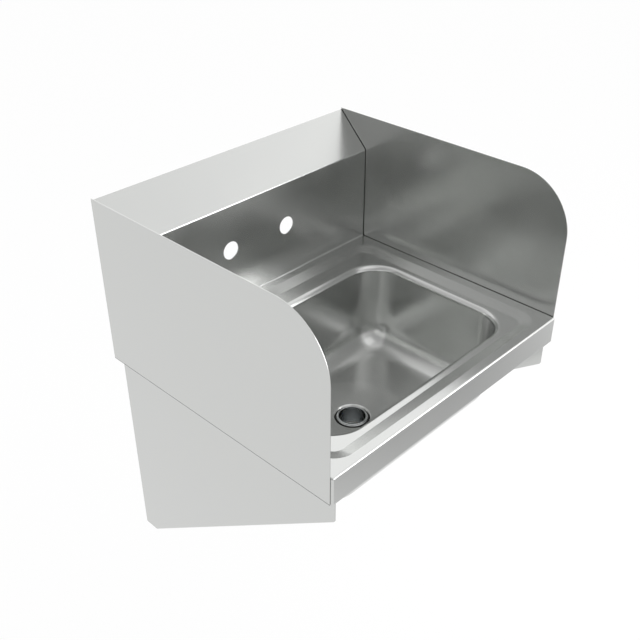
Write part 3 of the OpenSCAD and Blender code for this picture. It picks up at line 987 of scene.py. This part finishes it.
tail_top = barrel_z - tail_washer_t
tail_low = tail_top - 76.2
tail_bore_r = 17.85
tail_r = 19.05
tail_flange_r = 20.35
tail = turned(
    "tailpiece_tube",
    rounded(
        [
            (tail_bore_r, tail_top - 38, 0),
            (tail_bore_r, tail_low, 0.5),
            (tail_r, tail_low, 0.6),
            (tail_r, coupling_z - 0.3, 0),
            (19.2, tail_top - tail_flange_t, 0.1),
            (tail_flange_r, tail_top - tail_flange_t, 0.4),
            (tail_flange_r, tail_top, 0.4),
            (tail_bore_r, tail_top, 1),
            (tail_bore_r, tail_top - 38, 0),
        ],
        step=15,
    ),
)
finish(tail)
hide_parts("tailpiece")
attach(tail, "root")
tail.data.materials.append(chrome)

tail_washer_bore_r = 18.6
tail_washer = turned(
    "nylon_ring",
    rounded(
        [
            (tail_washer_bore_r, tail_top + tail_washer_t / 2, 0),
            (tail_washer_bore_r, tail_top, 0.3),
            (tail_flange_r, tail_top, 0.3),
            (tail_flange_r, barrel_z, 0.3),
            (tail_washer_bore_r, barrel_z, 0.3),
            (tail_washer_bore_r, tail_top + tail_washer_t / 2, 0),
        ],
        step=15,
    ),
)
finish(tail_washer)
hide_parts("tailpiece_washer")
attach(tail_washer, "root")

# Moulded white nylon: milky and waxy, a little yellower where it is thick.
nylon = bpy.data.materials.new("moulded_white_nylon")
nylon.use_nodes = True
shader = nylon.node_tree.nodes["Principled BSDF"]
shader.inputs["Subsurface Weight"].default_value = 0.15
shader.inputs["Subsurface Scale"].default_value = 0.001
place = add_node(nylon, "ShaderNodeTexCoord")
flow = add_node(
    nylon, "ShaderNodeTexNoise", [("Vector", place, "Object")], Scale=1 / 0.006, Detail=3
)
milk = add_node(nylon, "ShaderNodeMix", [("Factor", flow, "Fac")], data_type="RGBA")
milk.inputs[6].default_value = linear("#DAD7CA")
milk.inputs[7].default_value = linear("#ECEAE3")
wax = add_node(nylon, "ShaderNodeMapRange", [("Value", flow, "Fac")], To_Min=0.35, To_Max=0.5)
relief = add_node(
    nylon, "ShaderNodeBump", [("Height", flow, "Fac")], Strength=0.1, Distance=0.0001
)
nylon.node_tree.links.new(milk.outputs[2], shader.inputs["Base Color"])
nylon.node_tree.links.new(wax.outputs[0], shader.inputs["Roughness"])
nylon.node_tree.links.new(relief.outputs[0], shader.inputs["Normal"])
tail_washer.data.materials.append(nylon)


# ---- Studio
# The basin hangs 860 mm above a plain white floor, as it would on its wall, in a soft
# light from all round. The camera stands where the photograph was taken from.

FLOOR_Z = -860

camera = bpy.data.objects.new("camera", bpy.data.cameras.new("camera"))
bpy.context.scene.collection.objects.link(camera)
bpy.context.scene.camera = camera
camera.data.lens = 50
camera.data.sensor_width = 36
camera.location = at(-711.84, -852.67, 638.19)
camera.rotation_euler = (radians(90 - 33.03), 0, radians(-45.98))

bpy.ops.object.select_all(action="DESELECT")
bpy.ops.mesh.primitive_plane_add(size=80, location=at(0, -200, FLOOR_Z))
bpy.ops.object.transform_apply(location=True)
floor = bpy.context.object
floor.name = floor.data.name = "floor"

# Matt white paper. It shows as white to the eye and in the metal, and a fifth of its
# tone is left to the light, so that the basin's shadow stays on it. A painted shade dims
# it softly in front of the basin, outside the photograph's frame, where the apron mirrors it.
paper = bpy.data.materials.new("matt_white_paper")
paper.use_nodes = True
shader = paper.node_tree.nodes["Principled BSDF"]
shader.inputs["Roughness"].default_value = 0.9
place = add_node(paper, "ShaderNodeTexCoord")
painted_shade_spot = add_node(
    paper,
    "ShaderNodeVectorMath",
    [(0, place, "Object")],
    operation="DISTANCE",
)
painted_shade_spot.inputs[1].default_value = at(900, -1480, FLOOR_Z)
# Painted shade: the paper's colour and its glow fall to 0.46 round that spot.
painted_shade_falloff = add_node(
    paper,
    "ShaderNodeMapRange",
    [("Value", painted_shade_spot, "Value")],
    interpolation_type="SMOOTHSTEP",
    From_Min=0.35,
    From_Max=1.02,
    To_Min=0.46,
    To_Max=1,
)
paper.node_tree.links.new(painted_shade_falloff.outputs[0], shader.inputs["Base Color"])
glow = add_node(paper, "ShaderNodeEmission", [("Color", painted_shade_falloff, "Result")], Strength=1)
ray = add_node(paper, "ShaderNodeLightPath")
seen = add_node(
    paper,
    "ShaderNodeMath",
    [(0, ray, "Is Camera Ray"), (1, ray, "Is Glossy Ray")],
    operation="ADD",
)
seen_through = add_node(
    paper,
    "ShaderNodeMath",
    [(0, seen, "Value"), (1, ray, "Is Transmission Ray")],
    operation="ADD",
    use_clamp=True,
)
share = add_node(paper, "ShaderNodeMath", [(0, seen_through, "Value")], operation="MULTIPLY")
share.inputs[1].default_value = 0.8
paper_mix = add_node(
    paper,
    "ShaderNodeMixShader",
    [(0, share, "Value"), (1, shader, "BSDF"), (2, glow, "Emission")],
)
paper.node_tree.links.new(
    paper_mix.outputs[0], paper.node_tree.nodes["Material Output"].inputs["Surface"]
)
floor.data.materials.append(paper)

# An even room, a little brighter low on the right and dimmer high on the left, so that
# each side of the steel mirrors the tone that the photograph shows there.
room = bpy.data.worlds.new("soft_room_light")
bpy.context.scene.world = room
room.use_nodes = True
direction = add_node(room, "ShaderNodeTexCoord")
side_light = add_node(
    room, "ShaderNodeVectorMath", [(0, direction, "Generated")], operation="DOT_PRODUCT"
)
side_light.inputs[1].default_value = (0.54, 0.22, -0.46)
level = add_node(room, "ShaderNodeMath", [(0, side_light, "Value")], operation="ADD")
level.inputs[1].default_value = 1.22
room.node_tree.links.new(level.outputs[0], room.node_tree.nodes["Background"].inputs["Strength"])
room.node_tree.nodes["Background"].inputs["Color"].default_value = (1, 1, 1, 1)

# Two soft boxes: a tall one at the front right, which lines the folds and the round
# corners, and one high at the front, which reaches into the bowl.
for name, toward, away, across, upward, watts in (
    ("front_strip", (0.565, -0.778, 0.276), 3, 0.9, 2.2, 22),
    ("high_front", (-0.04, -0.42, 0.9), 3, 1.8, 1.8, 4),
):
    data = bpy.data.lights.new(name, "AREA")
    data.shape = "RECTANGLE"
    data.size, data.size_y, data.energy = across, upward, watts
    lamp = bpy.data.objects.new(name, data)
    bpy.context.scene.collection.objects.link(lamp)
    lamp.location = at(0, -200, 0) + Vector(toward).normalized() * away
    lamp.rotation_euler = Vector(toward).to_track_quat("Z", "Y").to_euler()
    lamp.visible_camera = False

bpy.context.scene.view_settings.view_transform = "Standard"
